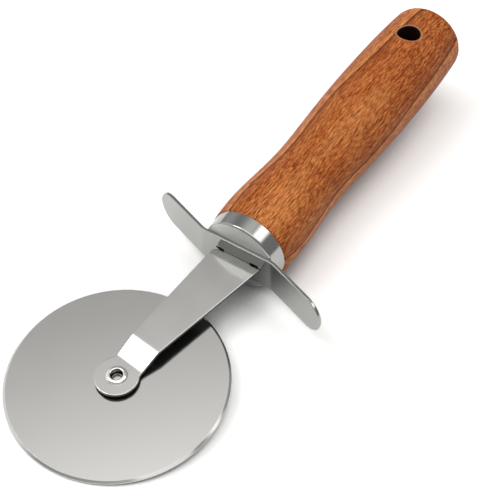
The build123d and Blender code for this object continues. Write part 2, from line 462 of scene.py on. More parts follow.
class Bench:
    """A node tree with short calls for adding and joining nodes."""

    def __init__(self, tree: Tree) -> None:
        """Works on a material's or a group's tree."""
        self.tree = tree

    def add(self, kind: str, inputs: dict | None = None, **settings: object) -> bpy.types.Node:
        """Adds a node.

        Args:
            kind: The node's type, without its ShaderNode prefix.
            inputs: Values or sockets for its inputs, by name or number.
            settings: Its own settings.

        Returns:
            The node.
        """
        node = self.tree.nodes.new(kind if kind.startswith("Node") else "ShaderNode" + kind)
        for name, value in settings.items():
            setattr(node, name, value)
        for name, value in (inputs or {}).items():
            self.give(node.inputs[name], value)
        return node

    def give(self, socket: Socket, value: object) -> None:
        """Links another node's output to an input, or sets the input's own value."""
        if isinstance(value, Socket):
            self.tree.links.new(value, socket)
        else:
            socket.default_value = value

    def dress(self, values: dict[str, object]) -> None:
        """Gives values or outputs to the inputs of the tree's own surface shader."""
        for name, value in values.items():
            self.give(self.tree.nodes["Principled BSDF"].inputs[name], value)

    def sum(self, operation: str, *values: object) -> Socket:
        """The result of one arithmetic operation on values or sockets."""
        return self.add("Math", dict(enumerate(values)), operation=operation).outputs[0]

    def vector(self, operation: str, *values: object) -> Socket:
        """The result of one vector operation: a number for a length, a distance or a dot product."""
        node = self.add("VectorMath", dict(enumerate(values)), operation=operation)
        return node.outputs["Value" if operation in ("DISTANCE", "DOT_PRODUCT", "LENGTH") else "Vector"]

    def ease(self, value: object, low: float, high: float, start: float = 0.0, end: float = 1.0) -> Socket:
        """A smooth step of a value from low to high, given as start to end."""
        inputs = {"Value": value, "From Min": low, "From Max": high, "To Min": start, "To Max": end}
        return self.add("MapRange", inputs, interpolation_type="SMOOTHSTEP").outputs["Result"]

    def blend(self, share: object, first: object, second: object) -> Socket:
        """Two colours mixed by a share."""
        node = self.add("Mix", data_type="RGBA")
        for socket, value in zip((node.inputs[0], node.inputs[6], node.inputs[7]), (share, first, second)):
            self.give(socket, value)
        return node.outputs[2]


def new_finish(name: str, place: Place) -> tuple[bpy.types.Material, Bench, Socket]:
    """A new material, its bench, and where a point of it lies in a place's frame, in metres."""
    material = bpy.data.materials.new(name)
    material.use_nodes = True
    bench = Bench(material.node_tree)
    location, rotation = place.mapping()
    where = bench.add("TexCoord").outputs["Object"]
    local = bench.add("Mapping", {"Vector": where, "Location": location, "Rotation": rotation}).outputs[0]
    return material, bench, local


def grain_group() -> Tree:
    """The marks that a belt leaves on steel sheet: fine lines along one direction, and a broad uneven haze.

    Returns:
        The group. Inputs: Vector, in metres with x along the lines; Lines, a metre's count of lines across.
        Outputs: Lines, fine and centred on 0; Haze, broad and from 0 to 1.
    """
    stretch = (0.02, 1.0, 1.0)
    haze_waves, detail = 90.0, 3.0
    haze_levels = (0.3, 0.7)
    tree = bpy.data.node_groups.new("sheet_grain", "ShaderNodeTree")
    for label, side, kind in (
        ("Vector", "INPUT", "NodeSocketVector"),
        ("Lines", "INPUT", "NodeSocketFloat"),
        ("Lines", "OUTPUT", "NodeSocketFloat"),
        ("Haze", "OUTPUT", "NodeSocketFloat"),
    ):
        tree.interface.new_socket(name=label, in_out=side, socket_type=kind)
    bench = Bench(tree)
    enter, leave = bench.add("NodeGroupInput"), bench.add("NodeGroupOutput")
    where, count = enter.outputs["Vector"], enter.outputs["Lines"]
    stretched = bench.vector("MULTIPLY", where, stretch)
    lines = bench.add("TexNoise", {"Vector": stretched, "Scale": count, "Detail": detail})
    haze = bench.add("TexNoise", {"Vector": where, "Scale": haze_waves, "Detail": detail})
    bench.give(leave.inputs["Lines"], bench.sum("SUBTRACT", lines.outputs[0], 0.5))
    bench.give(leave.inputs["Haze"], bench.ease(haze.outputs[0], *haze_levels))
    return tree


@dataclass(frozen=True)
class PaintedSide:
    """A side of a piece whose steel colour is scaled to paint shade or light on it, and whose roughness is
    raised.

    Attributes:
        towards: The way that side faces, in the piece's frame.
        reach: The cosine to that way at which the side begins, and the cosine at which it is full.
        share: The factor on the steel's colour there: below 1 it paints shade, above 1 it paints light.
        blur: The roughness that it adds.
    """

    towards: tuple[float, float, float]
    reach: tuple[float, float]
    share: float
    blur: float


@dataclass(frozen=True)
class Steel:
    """A sheet steel finish.

    Attributes:
        name: The material's name.
        colour: Its reflected colour, linear.
        roughness: Its least roughness.
        haze: How much roughness the uneven haze adds.
        lines: Belt lines a metre across.
        depth: The lines' depth in the bump, in metres.
        scratch: How much the lines change the roughness.
        side: A side with painted shade or painted light and added roughness, or None.
        bore: The radius of a blind bore round the frame's z axis, in metres, or 0.
        bore_shade_band: Where the bore's wall is painted dark as painted shade inside the bore, over the
            distance in radii, rising inside it and falling past it.
        bore_shade: The colour of that painted shade, linear.
    """

    name: str
    colour: Colour
    roughness: float
    haze: float
    lines: float
    depth: float
    scratch: float
    side: PaintedSide | None = None
    bore: float = 0.0
    bore_shade_band: tuple[Ease, Ease] = ((0.5, 0.75, 0.0, 1.0), (1.12, 1.0, 0.0, 0.9))
    bore_shade: Colour = (0.06, 0.05, 0.04)

    def material(self, grain: Tree, place: Place) -> bpy.types.Material:
        """The finish as a material.

        Args:
            grain: The shared group of belt marks.
            place: The frame whose x the belt ran along.

        Returns:
            The material.
        """
        material, bench, local = new_finish(self.name, place)
        marks = bench.add("Group", node_tree=grain)
        bench.give(marks.inputs["Vector"], local)
        bench.give(marks.inputs["Lines"], self.lines)
        lines, haze = marks.outputs["Lines"], marks.outputs["Haze"]
        hazed = bench.sum("MULTIPLY_ADD", haze, self.haze, self.roughness)
        rough = bench.sum("MULTIPLY_ADD", lines, self.scratch, hazed)
        bump = bench.add("Bump", {"Height": lines, "Distance": self.depth, "Strength": 1.0})
        tone = (*self.colour, 1)
        # Painted shade or light: the colour of the side facing that way is scaled by its share, and its
        # roughness raised.
        if self.side:
            towards = (place.axes @ np.array(self.side.towards)).tolist()
            facing = bench.vector("DOT_PRODUCT", bench.add("TexCoord").outputs["Normal"], towards)
            there = bench.ease(facing, *self.side.reach)
            tone = bench.blend(there, tone, (*(value * self.side.share for value in self.colour), 1))
            rough = bench.sum("MULTIPLY_ADD", there, self.side.blur, rough)
        # Painted shade: the wall of the rivet's bore is painted dark, standing for the shade inside the bore.
        if self.bore > 0:
            radii = bench.vector("LENGTH", bench.vector("MULTIPLY", local, (1, 1, 0)))
            radii = bench.sum("DIVIDE", radii, self.bore)
            wall = bench.sum("MULTIPLY", *(bench.ease(radii, *step) for step in self.bore_shade_band))
            tone = bench.blend(wall, tone, (*self.bore_shade, 1))
        bench.dress({"Base Color": tone, "Metallic": 1.0, "Roughness": rough, "Normal": bump.outputs[0]})
        return material


class Tone(Enum):
    """The beech's colours, linear: the last four are rays' ends, the painted shade in the hang hole and its
    worn rim.
    """

    PLAIN = (0.37, 0.064, 0.006)
    PALE = (0.53, 0.190, 0.056)
    EARLY = (0.90, 0.33, 0.09)
    LATE = (0.13, 0.022, 0.002)
    FLECK = (0.15, 0.024, 0.002)
    HOLE_SHADE = (0.020, 0.006, 0.003)
    RIM = (0.52, 0.27, 0.17)

    @property
    def rgba(self) -> tuple[float, float, float, float]:
        """The colour as a colour socket holds it."""
        return (*self.value, 1.0)


@dataclass(frozen=True)
class Grain:
    """A noise stretched along the wood's grain, and what it paints.

    Attributes:
        waves: Its waves a metre along the grain and both ways across it.
        detail: How many finer octaves it has.
        paints: Each tone with the smooth step from the noise to its share.
    """

    waves: tuple[float, float, float]
    detail: float
    paints: tuple[tuple[Tone, Ease], ...] = ()

    def noise(self, bench: Bench, local: Socket) -> Socket:
        """The noise at each point."""
        scaled = bench.vector("MULTIPLY", local, self.waves)
        return bench.add("TexNoise", {"Vector": scaled, "Scale": 1.0, "Detail": self.detail}).outputs[0]

    def paint(self, bench: Bench, local: Socket, tone: object) -> tuple[Socket, Socket]:
        """A colour with this noise's tones painted over it, and the noise."""
        noise = self.noise(bench, local)
        for paint, step in self.paints:
            tone = bench.blend(bench.ease(noise, *step), tone, paint.rgba)
        return tone, noise


@dataclass(frozen=True)
class Beech:
    """Steamed and oiled beech, cut so that the growth rings lie nearly flat under the handle's upper side.

    Attributes:
        name: The material's name.
        patches, streaks, fibres, specks, dashes: The grain's noises, from broad to fine.
        rays: From the dashes' lows to the share of the rays' dark ends.
        pith: Where the tree's middle lay in the handle's section, in metres.
        ring: The breadth of a year's growth, in metres.
        first: How far from the pith one year ends at the front of the handle, in metres.
        slope: How much farther out that year ends at the butt, in metres.
        slope_from: Where along the handle that slope starts and ends, in metres.
        waver, wavering: How far a year's end wavers, in metres, and with what noise.
        late_slow, late_fast, late_end: The late wood's slow and fast darkening and its end, over the year.
        early: The early wood's paleness, over the year.
        uneven, unevenness: The late wood's strength over its own noise, and that noise.
        roughness, ray_blur, gloss: The roughness, how much rays add to it, and the specular level.
        relief: The grain's depth, in metres.
        worn, inside: The hang hole's worn rim and the painted shade on its wall, over the distance from the
            wall in metres.
    """

    name: str = "oiled_beech"
    patches: Grain = Grain((14.0, 260.0, 260.0), 2.0, ((Tone.PALE, (0.46, 0.66, 0.0, 0.5)),))
    streaks: Grain = Grain((25.0, 900.0, 900.0), 1.0, ((Tone.PALE, (0.52, 0.72, 0.0, 0.6)),))
    fibres: Grain = Grain((70.0, 2900.0, 2900.0), 0.0,
                          ((Tone.PALE, (0.50, 0.72, 0.0, 0.7)), (Tone.LATE, (0.48, 0.26, 0.0, 0.6))))
    specks: Grain = Grain((1500.0, 3200.0, 3200.0), 0.0,
                          ((Tone.EARLY, (0.55, 0.75, 0.0, 0.45)), (Tone.LATE, (0.48, 0.28, 0.0, 0.45))))
    dashes: Grain = Grain((380.0, 3900.0, 3900.0), 0.0, ((Tone.EARLY, (0.54, 0.72, 0.0, 0.5)),))
    rays: Ease = (0.48, 0.26, 0.0, 0.75)
    pith: tuple[float, float] = (0.0133, -0.0269)
    ring: float = 0.0062
    first: float = 0.03835
    slope: float = 0.0030
    slope_from: tuple[float, float] = (0.052, 0.100)
    waver: float = 0.0012
    wavering: Grain = Grain((22.0, 60.0, 60.0), 2.0)
    late_slow: Ease = (0.60, 0.93, 0.0, 0.35)
    late_fast: Ease = (0.89, 0.96, 0.0, 0.65)
    late_end: Ease = (0.975, 1.0, 1.0, 0.0)
    early: Ease = (0.45, 0.02, 0.0, 0.8)
    uneven: Ease = (0.3, 0.6, 0.75, 1.0)
    unevenness: Grain = Grain((30.0, 400.0, 400.0), 2.0)
    roughness: float = 0.46
    ray_blur: float = 0.2
    gloss: float = 0.12
    relief: float = 0.00007
    worn: Ease = (0.0010, 0.0005, 0.0, 0.6)
    inside: Ease = (0.0003, 0.0001, 0.0, 1.0)

    def material(self, place: Place, hole_x: float, hole_radius: float) -> bpy.types.Material:
        """The finish as a material.

        Args:
            place: The handle's frame, whose x runs along the grain.
            hole_x: Where the hang hole's axis crosses x, in metres.
            hole_radius: The hang hole's radius, in metres.

        Returns:
            The material.
        """
        material, bench, local = new_finish(self.name, place)
        tone, _ = self.patches.paint(bench, local, Tone.PLAIN.rgba)
        early, late = self.year(bench, local)
        tone = bench.blend(early, tone, Tone.EARLY.rgba)
        tone, _ = self.streaks.paint(bench, local, tone)
        tone, fibres = self.fibres.paint(bench, local, tone)
        tone, _ = self.specks.paint(bench, local, tone)
        tone, dashes = self.dashes.paint(bench, local, tone)
        tone = bench.blend(late, tone, Tone.LATE.rgba)
        rays = bench.ease(dashes, *self.rays)
        tone = bench.blend(rays, tone, Tone.FLECK.rgba)
        flat = bench.vector("MULTIPLY", local, (1, 1, 0))
        from_wall = bench.sum("SUBTRACT", bench.vector("DISTANCE", flat, (hole_x, 0, 0)), hole_radius)
        tone = bench.blend(bench.ease(from_wall, *self.worn), tone, Tone.RIM.rgba)
        # Painted shade: the hang hole's wall is painted near black, standing for the shade inside the hole.
        tone = bench.blend(bench.ease(from_wall, *self.inside), tone, Tone.HOLE_SHADE.rgba)
        height = bench.sum("MULTIPLY_ADD", rays, -1.0, bench.sum("MULTIPLY", fibres, 0.5))
        bump = bench.add("Bump", {"Height": height, "Distance": self.relief, "Strength": 1.0})
        rough = bench.sum("MULTIPLY_ADD", rays, self.ray_blur, self.roughness)
        bench.dress({"Base Color": tone, "Normal": bump.outputs[0], "Roughness": rough,
                     "Specular IOR Level": self.gloss})
        return material

    def year(self, bench: Bench, local: Socket) -> tuple[Socket, Socket]:
        """How pale the early wood is and how dark the late wood is.

        Both follow the distance from the pith, in years, counted inwards. It is waved along the grain and
        eased outwards towards the butt.
        """
        out = bench.vector("DISTANCE", bench.vector("MULTIPLY", local, (0, 1, 1)), (0.0, *self.pith))
        along = bench.add("SeparateXYZ", {0: local}).outputs[0]
        limit = bench.ease(along, *self.slope_from, self.first, self.first + self.slope)
        wave = bench.sum("MULTIPLY_ADD", self.wavering.noise(bench, local), self.waver, -self.waver / 2)
        inwards = bench.sum("SUBTRACT", bench.sum("ADD", limit, wave), out)
        years = bench.sum("FRACT", bench.sum("DIVIDE", inwards, self.ring))
        rising = bench.sum("ADD", bench.ease(years, *self.late_slow), bench.ease(years, *self.late_fast))
        uneven = bench.ease(self.unevenness.noise(bench, local), *self.uneven)
        late = bench.sum("MULTIPLY", bench.sum("MULTIPLY", rising, bench.ease(years, *self.late_end)), uneven)
        return bench.ease(years, *self.early), late


@dataclass(frozen=True)
class Finishes:
    """Every finish of the cutter. A steel's numbers are its roughness, haze, lines, depth and scratch."""

    wheel: Steel = Steel("polished_wheel", (0.70, 0.69, 0.67), 0.085, 0.05, 5200.0, 1.2e-6, 0.05)
    # The rivet's bore wall carries painted shade.
    rivet: Steel = Steel("bright_rivet", (0.90, 0.89, 0.87), 0.10, 0.05, 3000.0, 1e-6, 0.02, bore=0.00175)
    washer: Steel = Steel("plain_washer", (0.5, 0.5, 0.49), 0.25, 0.08, 3000.0, 1e-6, 0.05)
    # The arm's underside is painted at a tenth of its colour: painted shade, so that the wheel mirrors it
    # black like the shaded gap under the arm. Its added roughness is a duller finish.
    arm: Steel = Steel("satin_arm", (0.73, 0.72, 0.70), 0.13, 0.07, 4200.0, 2e-6, 0.08,
                       PaintedSide((0, 0, -1), (-0.35, -0.1), 0.1, 0.25))
    # Painted shade: the guard's and the ferrule's steel is set at about half the arm's colour, a shaded copy
    # standing in for the darker surroundings that they mirror.
    guard: Steel = Steel("bright_guard", (0.365, 0.37, 0.355), 0.10, 0.06, 3800.0, 2e-6, 0.06)
    # The ferrule's front face is painted half again as bright: painted light, so that it shows lighter than
    # its mirror of the guard. It is also rougher.
    ferrule: Steel = Steel("bright_ferrule", (0.385, 0.385, 0.375), 0.10, 0.06, 2500.0, 2e-6, 0.04,
                           PaintedSide((-1, 0, 0), (0.8, 0.97), 1.5, 0.3))
    wood: Beech = Beech()


# Sub-assemblies

@dataclass
class WheelSet:
    """The cutting wheel with the rivet and the washers that it turns between, in millimetres."""

    diameter: float = 65.0
    thickness: float = 1.2
    bevel: float = 0.7
    land: float = 0.3
    edge_break: float = 0.05
    shank_diameter: float = 4.8
    running_clearance: float = 0.05
    axial_play: float = 0.08
    bore_diameter: float = 3.5
    bore_floor: float = 1.0
    crest_diameter: float = 4.6
    flange_diameter: float = 6.4
    flange_height: float = 0.75
    head_diameter: float = 9.0
    head_rim: float = 0.35
    head_dome: float = 0.45
    washer_diameter: float = 8.6
    under_washer_diameter: float = 7.6
    under_washer_thickness: float = 0.3
    ear_underside: float = 0.85
    strip_thickness: float = 1.0
    segments: int = 320

    @property
    def face(self) -> float:
        """The height of the wheel's upper face."""
        return self.thickness / 2

    @property
    def ear_bottom(self) -> float:
        """The height of the arm's ear over the wheel's centre."""
        return self.face + self.ear_underside

    def wheel(self) -> Skin:
        """A disc whose section is a thin bar with a bevel at each side of its outer end."""
        outer = self.diameter / 2
        bore = self.shank_diameter / 2 + self.running_clearance
        corners = [(bore, 0), (bore, -self.face), (outer - self.bevel, -self.face), (outer, -self.land / 2),
                   (outer, self.land / 2), (outer - self.bevel, self.face), (bore, self.face), (bore, 0)]
        breaks = [self.edge_break] * (len(corners) - 2)
        return lathe(rounded(corners, breaks, BREAK_POINTS)[:-1], self.segments, True)

    def rivet(self) -> Skin:
        """A tubular rivet: rolled flange, open bore, shank and domed head, one profile from axis to axis."""
        bore, shank = self.bore_diameter / 2, self.shank_diameter / 2
        top = self.ear_bottom + self.strip_thickness
        lip, crest = (bore, top + self.flange_height / 2), (self.crest_diameter / 2, top + self.flange_height)
        flange, head = self.flange_diameter / 2, self.head_diameter / 2
        seat = -self.face - self.axial_play - self.under_washer_thickness
        low = seat - self.head_rim
        runs = [
            [(0, self.bore_floor)],
            rounded([(bore / 2, self.bore_floor), (bore, self.bore_floor), lip], [bore / 4]),
            arc_leaving(lip, crest, (0, 1)),
            arc_leaving(crest, (flange, top), (1, 0)),
            [(shank, top), (shank, seat)],
            rounded([(shank, seat), (head, seat), (head, low)], [self.edge_break * 2]),
            arc_leaving((0, low - self.head_dome), (head, low), (1, 0), DOME_POINTS)[::-1],
        ]
        return lathe(np.concatenate([np.array(run, float) for run in runs]), self.segments // 4, False)

    def washer(self, diameter: float, low: float, high: float) -> Skin:
        """A flat ring on the shank between two heights."""
        inner, outer, middle = self.shank_diameter / 2, diameter / 2, (low + high) / 2
        corners = [(inner, middle), (inner, low), (outer, low), (outer, high), (inner, high), (inner, middle)]
        return lathe(rounded(corners, [self.edge_break] * 4, BREAK_POINTS)[:-1], self.segments // 4, True)

    def build(self, place: Place, finishes: Finishes, grain: Tree) -> None:
        """Makes the wheel, the rivet and both washers."""
        bearing = self.face + self.axial_play
        upper = self.washer(self.washer_diameter, bearing, self.ear_bottom)
        lower = self.washer(self.under_washer_diameter, -bearing - self.under_washer_thickness, -bearing)
        blade, bright = finishes.wheel.material(grain, place), finishes.rivet.material(grain, place)
        plain = finishes.washer.material(grain, place)
        make_piece("wheel", self.wheel(), place, blade, ["cutting_wheel"], Body.WHEEL)
        make_piece("rivet", self.rivet(), place, bright, ["axle_rivet"])
        make_piece("upper_washer", upper, place, plain, ["spacer_washer"])
        make_piece("lower_washer", lower, place, plain, ["under_washer"])


@dataclass
class Arm:
    """The stamped arm: a round ear on the rivet, a crank, a widening strip and the tang inside the handle."""

    wheel_set: WheelSet
    guard_front: float = 52.4
    guard_thickness: float = 1.1
    handle_side: float = 6.0
    handle_height: float = 4.4
    droop: float = math.radians(1.25)
    ear_diameter: float = 13.0
    neck_width: float = 9.8
    neck_fillet: float = 2.5
    crank_start: float = 5.4
    crank_end: float = 12.2
    crank_width: float = 10.3
    bend_radius: float = 2.4
    bend_reach: float = 1.0
    rear_width: float = 16.6
    round_corner: float = 2.4
    sharp_corner: float = 0.4
    tang_width: float = 9.4
    tang_length: float = 34.0
    tang_corner: float = 2.0
    slot_clearance: float = 0.1
    edge_radius: float = 0.18
    ear_points: int = 80
    crank_points: tuple[int, int, int] = (14, 16, 20)
    edge_points: int = 60
    shoulder_points: int = 12
    first_ring: float = 0.02
    inner_rings: tuple[float, float, int] = (0.1, 1.0, 12)

    @property
    def guard_middle(self) -> float:
        """How far the middle of the guard is from the wheel's centre."""
        return self.guard_front + self.guard_thickness / 2

    @property
    def yaw(self) -> float:
        """The angle at which the strip runs from the wheel's centre to the handle's axis."""
        return math.atan2(self.handle_side, self.guard_front)

    @property
    def turn(self) -> np.ndarray:
        """What turns rows in the strip's direction into rows in the tool's frame."""
        cos, sin = math.cos(self.yaw), math.sin(self.yaw)
        return np.array(((cos, -sin), (sin, cos)))

    @property
    def reach(self) -> float:
        """The strip's length, from the wheel's centre to the guard's front."""
        return self.guard_front / math.cos(self.yaw)

    def slot(self, clearance: float) -> tuple[float, float]:
        """Half the width and half the height of a slot that clears the tang."""
        return self.tang_width / 2 + clearance, self.wheel_set.strip_thickness / 2 + clearance

    def half_width(self, at: np.ndarray) -> np.ndarray:
        """Half the strip's width at places along it: steady at the neck, then widening to the guard."""
        stations = (0, self.crank_start, self.crank_end, self.reach)
        halves = (self.neck_width / 2, self.neck_width / 2, self.crank_width / 2, self.rear_width / 2)
        return np.interp(at, stations, halves)

    def side(self, sign: int, corner: float) -> np.ndarray:
        """One side of the outline, from the ear's tip to the tang's end, along the strip's own direction.

        Args:
            sign: 1 for the left side and -1 for the right one.
            corner: The radius of the strip's rear corner on that side.

        Returns:
            The points, as many on either side.
        """
        ear, fillet, half = self.ear_diameter / 2, self.neck_fillet, self.neck_width / 2
        hub = np.array((math.sqrt((ear + fillet) ** 2 - (half + fillet) ** 2), half + fillet))
        on_ear = hub * ear / (ear + fillet)
        sweep = math.atan2(on_ear[1], on_ear[0]) - math.pi
        tip = turned(np.array((-ear, 0.0)), np.linspace(0, sweep, self.ear_points))
        heading = np.array((on_ear[1], -on_ear[0])) / ear
        neck = arc_leaving(on_ear, (hub[0], half), heading, FILLET_POINTS)
        stops = (hub[0], self.crank_start + self.bend_reach, self.crank_end - self.bend_reach,
                 self.crank_end + self.bend_reach)
        runs = zip(stops, stops[1:], self.crank_points)
        crank = np.concatenate([np.linspace(low, high, count)[1:] for low, high, count in runs])
        crank = np.stack([crank, self.half_width(crank)], axis=1)
        return np.concatenate([tip, neck[1:], crank, self.rear(sign, corner)[1:]]) * (1, sign)

    def rear(self, sign: int, corner: float) -> np.ndarray:
        """The strip's straight edge, its rear corner, its shoulder and the tang's side, mirrored onto +y."""
        shoulder = self.guard_front - self.slot_clearance
        middle = np.array((self.guard_front, -self.handle_side))
        tang_side = middle + (0, sign * self.tang_width / 2)
        tang_end = self.guard_middle + self.tang_length
        past_crank = self.crank_end + self.bend_reach
        ends = np.array(((past_crank, self.half_width(past_crank)), (self.reach, self.rear_width / 2)))
        start, far = ends * (1, sign) @ self.turn
        slope = (far - start) / (far[0] - start[0])
        outer = start + slope * (shoulder - start[0])
        corners = [start, outer, (shoulder, tang_side[1]), (tang_end, tang_side[1]), (tang_end, middle[1])]
        line = rounded(corners, [corner, 0, self.tang_corner])
        round_end = ARC_POINTS + 1
        edge = np.concatenate([walked(line[:2], self.edge_points), line[2:round_end]])
        inner = walked(line[round_end - 1 : round_end + 1], self.shoulder_points)[1:]
        tang = walked(line[round_end:], self.edge_points)[1:]
        return np.concatenate([edge, inner, tang]) @ self.turn.T * (1, sign)

    def solid(self) -> Skin:
        """The arm folded and in the tool's frame.

        The outline's two sides have as many points, so that each pair shares one point of the middle line: on
        the rivet's hole for the front of the ear, and past it on the line that halves the strip and the tang.

        Returns:
            The surface.
        """
        left = self.side(1, self.round_corner)
        right = self.side(-1, self.sharp_corner)
        hole = self.wheel_set.shank_diameter / 2
        along = (left[:, 0] + right[:, 0]) / 2
        angle = np.arctan2(left[:, 1], left[:, 0])
        side_on = math.acos(hole / (self.ear_diameter / 2))
        on_hole = along < hole
        spread = np.clip((angle - side_on) / (math.pi - side_on), 0, 1) * math.pi
        limit = left[:, 0].max() - self.tang_width / 2
        past = np.minimum(along, limit)
        rim = np.stack([hole * np.cos(spread), hole * np.sin(spread)], axis=1)
        spine = np.stack([past, np.maximum(past - self.reach, 0) * math.tan(self.yaw)], axis=1)
        upper = np.where(on_hole[:, None], rim, spine)
        lower = np.where(on_hole[:, None], rim * (1, -1), spine)
        outline = np.concatenate([right, left[-2:0:-1]])
        middle = np.concatenate([lower, upper[-2:0:-1]])
        shares = np.concatenate([[0, self.first_ring], np.linspace(*self.inner_rings)])
        sheet = Sheet(outline, middle, self.wheel_set.strip_thickness, self.edge_radius, shares)
        return sheet.solid().bent(self.fold)

    def fold(self, points: np.ndarray) -> np.ndarray:
        """The flat arm folded along its crank and turned by its yaw, with the tang sloped into the handle."""
        thickness = self.wheel_set.strip_thickness
        ear = self.wheel_set.ear_bottom + thickness / 2
        far = self.guard_middle + self.tang_length * 2
        corners = [(-self.ear_diameter, ear), (self.crank_start, ear), (self.crank_end, self.handle_height),
                   (far, self.handle_height)]
        path = rounded(corners, [self.bend_radius] * 2, BEND_POINTS)
        height = Fold(path, thickness).lift(points[:, 0], points[:, 2])
        x, y = (points[:, :2] @ self.turn).T
        return np.stack([x, y, height - np.maximum(x - self.guard_middle, 0) * math.tan(self.droop)], axis=1)

    def build(self, place: Place, finishes: Finishes, grain: Tree) -> None:
        """Makes the arm."""
        strip = np.eye(3)
        strip[:2, :2] = self.turn.T
        finish = finishes.arm.material(grain, Place(place.origin, place.axes @ strip))
        make_piece("cranked_arm", self.solid(), place, finish, ["arm"])


@dataclass
class Guard:
    """The finger guard: an upright strip with rounded ends, one wing swept back and the other forward."""

    arm: Arm
    height: float = 12.4
    drop: float = 0.55
    flat_half: float = 12.5
    half_span: float = 34.0
    wing_angle: float = math.radians(19.5)
    bend_radius: float = 5.0
    bend_reach: float = 1.2
    rim_row: float = 0.05
    relief_reach: float = 7.6
    relief_height: float = 0.8
    edge_radius: float = 0.2
    columns: tuple[int, int, int] = (12, 25, 30)
    end_points: int = 49
    inner_rows: tuple[float, float, int] = (0.8, 4.0, 7)

    def opening(self, middles: np.ndarray) -> np.ndarray:
        """Whether points of the front view lie in the tang's slot or in the reliefs beside it."""
        y, z = np.abs(middles[:, 0]), middles[:, 1] - self.drop
        tang, strip = self.arm.slot(0)
        half_width, half_height = self.arm.slot(self.arm.slot_clearance)
        slot = (y < half_width) & (np.abs(z) < half_height)
        relief = (y > tang) & (y < self.relief_reach) & (z > strip)
        return slot | (relief & (z < strip + self.relief_height))

    def solid(self) -> Skin:
        """The strip drawn flat in front view about its own middle line, then bent in plan.

        The outline is a line at half the height from the middle line's two ends, and rings run square to it.
        The rings and columns that bound the slot and the reliefs lie on their sides.

        Returns:
            The surface.
        """
        radius = self.height / 2
        straight = self.half_span - radius
        tang, strip = self.arm.slot(0)
        half_width, half_height = self.arm.slot(self.arm.slot_clearance)
        marks = [tang, half_width, self.relief_reach]
        low, high = self.flat_half - self.bend_reach, self.flat_half + self.bend_reach
        stops = (0, low, high, straight)
        runs = [np.linspace(*run) for run in zip(stops, stops[1:], self.columns)]
        half = np.unique(np.concatenate([*runs, marks]))
        columns = np.concatenate([-half[:0:-1], half])
        turn = np.linspace(-math.pi / 2, math.pi / 2, self.end_points)[1:-1]
        end = np.stack([np.cos(turn), np.sin(turn)], axis=1) * radius
        level = np.full(len(columns), radius)
        outline = np.concatenate([np.stack([columns, -level], 1), end + (straight, 0),
                                  np.stack([columns[::-1], level], 1), -end - (straight, 0)])
        middle = np.stack([np.clip(outline[:, 0], -straight, straight), 0 * outline[:, 1]], axis=1)
        top = self.drop + strip
        lines = np.array((top + self.relief_height, self.drop + half_height, top, half_height - self.drop))
        rims = (self.edge_radius, self.edge_radius + self.rim_row, radius)
        depth = np.unique(np.concatenate([rims, radius - lines, np.linspace(*self.inner_rows)]))
        shares = (depth - self.edge_radius) / (radius - self.edge_radius)
        sheet = Sheet(outline, middle, self.arm.guard_thickness, self.edge_radius, shares, self.opening)
        return sheet.solid().bent(self.fold)

    def fold(self, points: np.ndarray) -> np.ndarray:
        """The flat strip stood up across the handle and bent in plan, with its length along y."""
        reach = self.half_span * 2
        back = (reach - self.flat_half) * math.tan(self.wing_angle)
        corners = [(-reach, -back), (-self.flat_half, 0), (self.flat_half, 0), (reach, back)]
        path = rounded(corners, [self.bend_radius] * 2, BEND_POINTS)
        across = Fold(path, self.arm.guard_thickness).lift(points[:, 0], points[:, 2])
        return np.stack([across, points[:, 0], points[:, 1] - self.drop], axis=1)

    def build(self, place: Place, finishes: Finishes, grain: Tree) -> None:
        """Makes the guard."""
        across = Place(place.origin, place.axes @ np.array(((0, 1, 0), (1, 0, 0), (0, 0, -1))))
        finish = finishes.guard.material(grain, across)
        make_piece("guard", self.solid(), place, finish, ["finger_guard"])


def slot_ring(half_width: float, half_height: float, angle: np.ndarray) -> np.ndarray:
    """The radius of an upright rectangle's outline in each direction."""
    with np.errstate(divide="ignore"):
        return np.minimum(half_width / np.abs(np.cos(angle)), half_height / np.abs(np.sin(angle)))


def turn_on_handle(
    profile: np.ndarray, slots: dict[int, tuple[float, float]], segments: int, closed: bool
) -> Skin:
    """A profile carried round the handle's axis, some of whose rings are the tang's slot instead of a circle.

    Args:
        profile: Rows of place along x and radius.
        slots: Half the width and height of the slot for each row that lies on it.
        segments: Points round the axis.
        closed: Whether the profile's last point joins its first.

    Returns:
        The surface.
    """
    angle = np.arange(segments) * (2 * math.pi / segments)
    radius = np.repeat(profile[:, 1, None], segments, axis=1)
    for row, (half_width, half_height) in slots.items():
        radius[row] = slot_ring(half_width, half_height, angle)
    x = np.repeat(profile[:, 0, None], segments, axis=1)
    points = np.stack([x, radius * np.cos(angle), radius * np.sin(angle)], axis=-1)
    return Skin(points.reshape(-1, 3), between_rings(len(profile), segments, closed))


